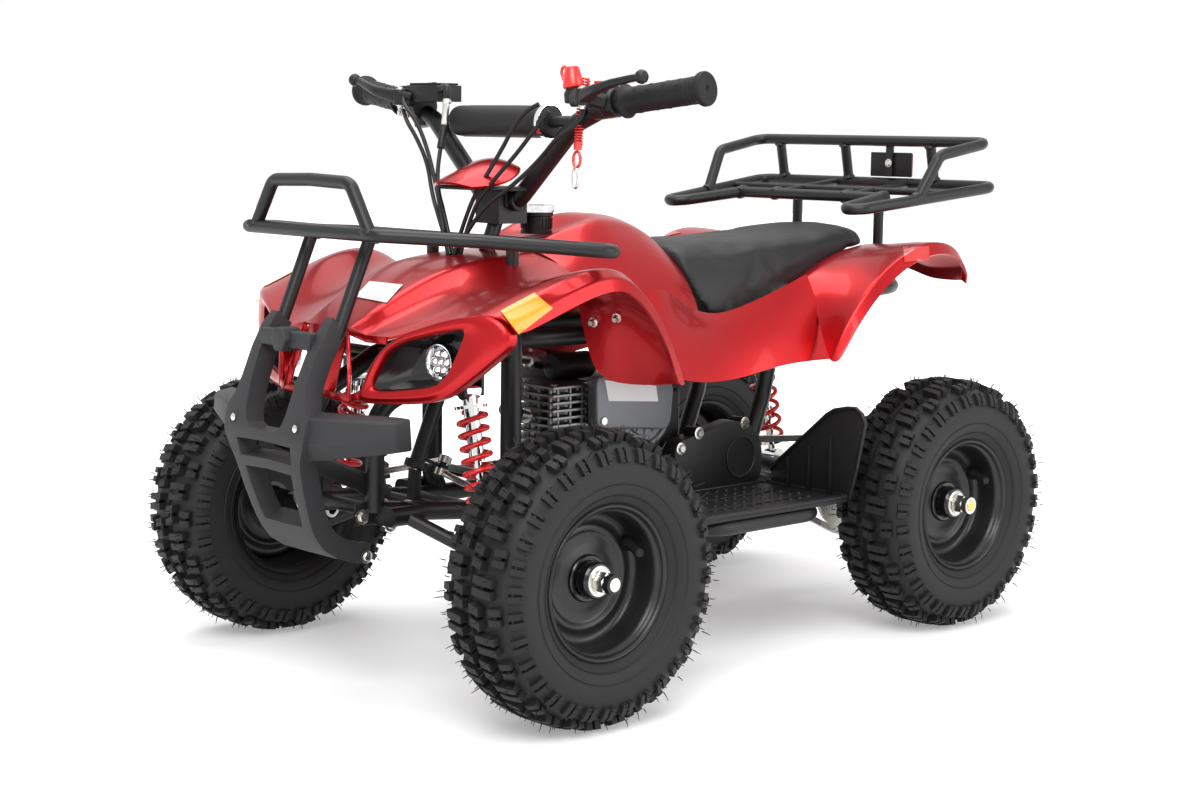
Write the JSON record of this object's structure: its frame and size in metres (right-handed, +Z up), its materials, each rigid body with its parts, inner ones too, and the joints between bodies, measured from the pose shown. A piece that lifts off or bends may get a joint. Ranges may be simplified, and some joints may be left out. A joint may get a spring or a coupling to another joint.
{
  "type": "quad bike",
  "caption": "Small petrol quad bike with knobby tyres, moulded fenders, tube cargo racks front and rear, a plastic bull bar, a padded seat and wide handlebars.",
  "frame": {"origin": "on the ground, at the middle of the overall length and width", "axes": "+Z up, front towards -Y, the rider's left towards +X"},
  "size_m": [0.709, 1.077, 0.723],
  "materials": {
    "black_steel": "satin black powder coat",
    "rim_black": "semi-gloss black paint",
    "red_steel": "gloss red paint",
    "zinc_steel": "zinc plated",
    "chain_steel": "oiled steel",
    "exhaust_steel": "dull heat-stained steel",
    "damper_chrome": "polished",
    "engine_black": "matte black paint on cast metal",
    "lever_black": "gloss black paint",
    "red_plastic": "glossy metallic candy red",
    "black_plastic": "fine grained black",
    "bumper_plastic": "textured dark grey",
    "grey_plastic": "matte dark grey",
    "lamp_clear": "clear lens",
    "seat_vinyl": "smooth black vinyl",
    "grip_rubber": "ribbed black rubber",
    "foam_black": "black foam in a smooth skin",
    "tyre": "new black rubber"
  },
  "bodies": {
    "chassis": {"a_arms": "black_steel", "air_box": "grey_plastic", "bull_bar": "bumper_plastic", "chain": "chain_steel", "chain_case": "black_plastic", "dampers": "damper_chrome", "engine_block": "engine_black", "engine_cylinder": "engine_black", "exhaust": "exhaust_steel", "foot_tubes": "black_steel", "footboards": "black_plastic", "frame": "black_steel", "front_body": "red_plastic", "front_fascia": "red_plastic", "front_rack": "black_steel", "fuel_cap": "black_plastic", "headlights": "black_plastic", "lamps": "lamp_clear", "rear_fender": "red_plastic", "rear_rack": "black_steel", "recoil_cover": "grey_plastic", "seat": "seat_vinyl", "side_panels": "red_plastic", "springs": "red_steel", "swingarm": "black_steel", "tail_reflector": "black_plastic", "tank_cover": "red_plastic"},
    "steering": {"steering_stem": "black_steel", "handlebar": "black_steel", "bar_pad": "foam_black", "grips": "grip_rubber", "levers": "lever_black", "throttle_housing": "black_plastic", "kill_switch": "black_plastic", "bar_cover": "red_plastic"},
    "tie_rod_left": {"tie_rod_left": "zinc_steel"},
    "tie_rod_right": {"tie_rod_right": "zinc_steel"},
    "knuckle_left": {"knuckle_left": "black_steel"},
    "knuckle_right": {"knuckle_right": "black_steel"},
    "wheel_front_left": {"tyre_front_left": "tyre", "rim_front_left": "rim_black"},
    "wheel_front_right": {"tyre_front_right": "tyre", "rim_front_right": "rim_black"},
    "rear_axle": {"rear_axle": "zinc_steel", "rear_tyres": "tyre", "rear_rims": "rim_black"}
  },
  "joints": [
    {"name": "steering_turn", "type": "hinge", "parent": "chassis", "child": "steering", "pos_m": [0, -0.3195, 0.247], "axis": [0, 0.3891, 0.9212], "range_deg": [-25, 25]},
    {"name": "tie_rod_left_turn", "type": "hinge", "parent": "steering", "child": "tie_rod_left", "pos_m": [0, -0.2772, 0.24433], "axis": [0, 0.3891, 0.9212], "range_deg": [-25.5, 25.5]},
    {"name": "knuckle_left_turn", "type": "hinge", "parent": "chassis", "child": "knuckle_left", "pos_m": [0.225, -0.3185, 0.165], "axis": [0, 0, 1], "range_deg": [-25.5, 25.5]},
    {"name": "wheel_front_left_spin", "type": "hinge", "parent": "knuckle_left", "child": "wheel_front_left", "pos_m": [0.297, -0.3185, 0.165], "axis": [1, 0, 0], "continuous": true},
    {"name": "tie_rod_right_turn", "type": "hinge", "parent": "steering", "child": "tie_rod_right", "pos_m": [0, -0.2772, 0.24433], "axis": [0, 0.3891, 0.9212], "range_deg": [-25.5, 25.5]},
    {"name": "knuckle_right_turn", "type": "hinge", "parent": "chassis", "child": "knuckle_right", "pos_m": [-0.225, -0.3185, 0.165], "axis": [0, 0, 1], "range_deg": [-25.5, 25.5]},
    {"name": "wheel_front_right_spin", "type": "hinge", "parent": "knuckle_right", "child": "wheel_front_right", "pos_m": [-0.297, -0.3185, 0.165], "axis": [1, 0, 0], "continuous": true},
    {"name": "rear_axle_spin", "type": "hinge", "parent": "chassis", "child": "rear_axle", "pos_m": [0, 0.3735, 0.165], "axis": [1, 0, 0], "continuous": true}
  ],
  "couplings": [
    {"joint": "knuckle_left_turn", "follows": "steering_turn", "ratio": 1},
    {"joint": "tie_rod_left_turn", "follows": "steering_turn", "ratio": -1},
    {"joint": "knuckle_right_turn", "follows": "steering_turn", "ratio": 1},
    {"joint": "tie_rod_right_turn", "follows": "steering_turn", "ratio": -1}
  ]
}
